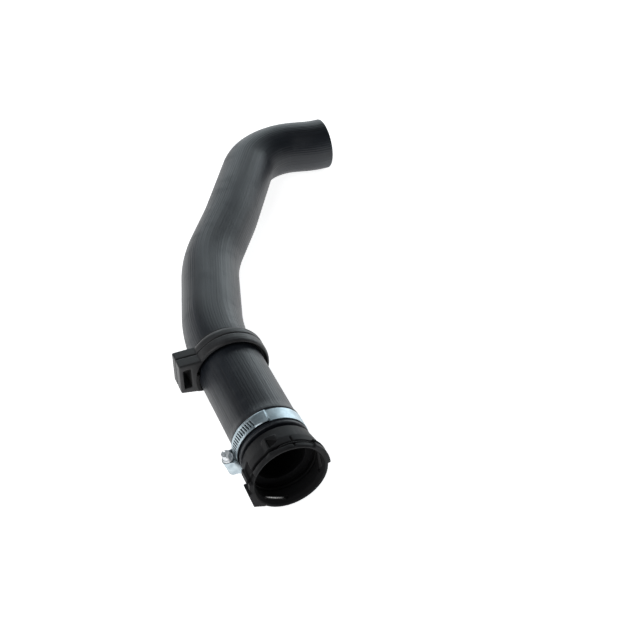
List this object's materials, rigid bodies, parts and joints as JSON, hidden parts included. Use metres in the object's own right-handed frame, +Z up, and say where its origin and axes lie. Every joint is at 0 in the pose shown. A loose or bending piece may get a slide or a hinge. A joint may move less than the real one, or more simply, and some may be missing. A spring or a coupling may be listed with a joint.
{
  "type": "charge air hose",
  "caption": "Moulded rubber air hose with a plain cuff, a slotted mount ring, and a push-on quick coupling held in its end by a worm drive clamp.",
  "frame": {"origin": "middle of the box round the whole hose, on the surface that it lies on", "axes": "+Y from the coupling's open end along the clamped end of the hose, +X the way the cuff points, +Z up"},
  "size_m": [0.2698, 0.4846, 0.0688],
  "materials": {
    "hose_rubber": "satin dark grey-blue rubber, finely ridged along its length",
    "mount_rubber": "satin black moulded rubber",
    "coupling_plastic": "satin black moulded plastic",
    "seal_rubber": "matte black rubber",
    "spring_steel": "bright drawn spring wire",
    "band_zinc": "blue-white zinc plate",
    "housing_zinc": "blue-white zinc plate",
    "screw_zinc": "dull zinc plate"
  },
  "bodies": {
    "root": {"hose": "hose_rubber", "mount_ring": "mount_rubber", "coupling_body": "coupling_plastic", "seal_ring": "seal_rubber", "wire_clip": "spring_steel", "clamp_band": "band_zinc", "clamp_housing": "housing_zinc", "clamp_screw": "screw_zinc"}
  },
  "joints": []
}
